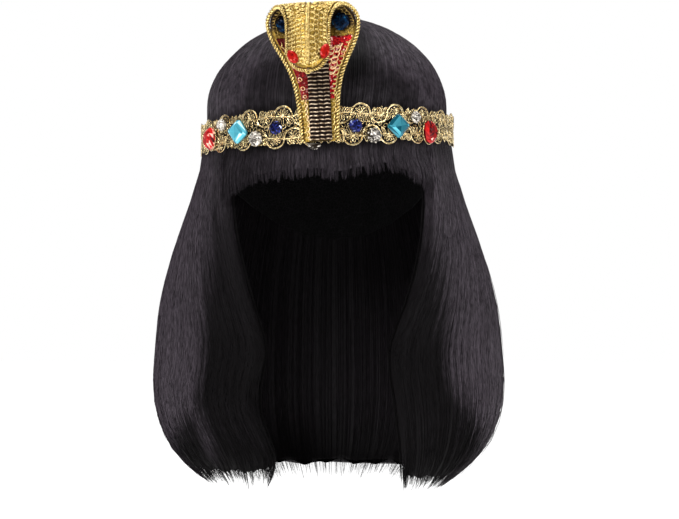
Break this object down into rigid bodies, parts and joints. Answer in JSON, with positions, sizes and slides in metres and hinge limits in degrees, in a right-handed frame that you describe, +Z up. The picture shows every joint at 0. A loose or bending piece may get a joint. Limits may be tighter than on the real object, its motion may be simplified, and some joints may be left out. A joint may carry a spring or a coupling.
{
  "type": "beaded wig",
  "caption": "Black bob wig with a full fringe, worn with a gold filigree headband set with coloured stones and a rearing cobra at the brow.",
  "frame": {"origin": "the head's seat: the top of the head, at the inside of the cap's crown", "axes": "+Z up, the face opening towards -Y, +X to the viewer's right when seen from the front"},
  "size_m": [0.244, 0.2578, 0.3332],
  "materials": {
    "hair": "straight synthetic fibre, soft sheen",
    "cap_net": "knitted net, matt",
    "gold_trim": "bright gold scroll wire",
    "gold_strip": "stiffened gold cloth",
    "gold_braid": "twisted gold cord",
    "red_lining": "red glitter cloth",
    "blue_stone": "faceted acrylic",
    "turquoise_stone": "faceted acrylic",
    "red_stone": "faceted acrylic",
    "clear_stone": "foil-backed faceted acrylic",
    "teal_stone": "dark faceted acrylic"
  },
  "bodies": {
    "root": {"wig_cap": "cap_net", "crown_hair": "hair", "fringe": "hair", "side_hair_left": "hair", "side_hair_right": "hair", "back_hair": "hair", "filigree_band": "gold_trim", "blue_stone_left": "blue_stone", "blue_stone_right": "blue_stone", "rhinestone_lower_left": "clear_stone", "rhinestone_lower_right": "clear_stone", "turquoise_stone_left": "turquoise_stone", "turquoise_stone_right": "turquoise_stone", "rhinestone_upper_left": "clear_stone", "rhinestone_upper_right": "clear_stone", "red_stone_left": "red_stone", "red_stone_right": "red_stone", "rhinestone_base": "clear_stone", "cobra_hood": "gold_strip", "hood_lining": "red_lining", "hood_braid": "gold_braid", "belly_ladder": "gold_strip", "eye_left": "red_stone", "eye_right": "red_stone", "hood_stone_left": "teal_stone", "hood_stone_right": "teal_stone"}
  },
  "joints": []
}
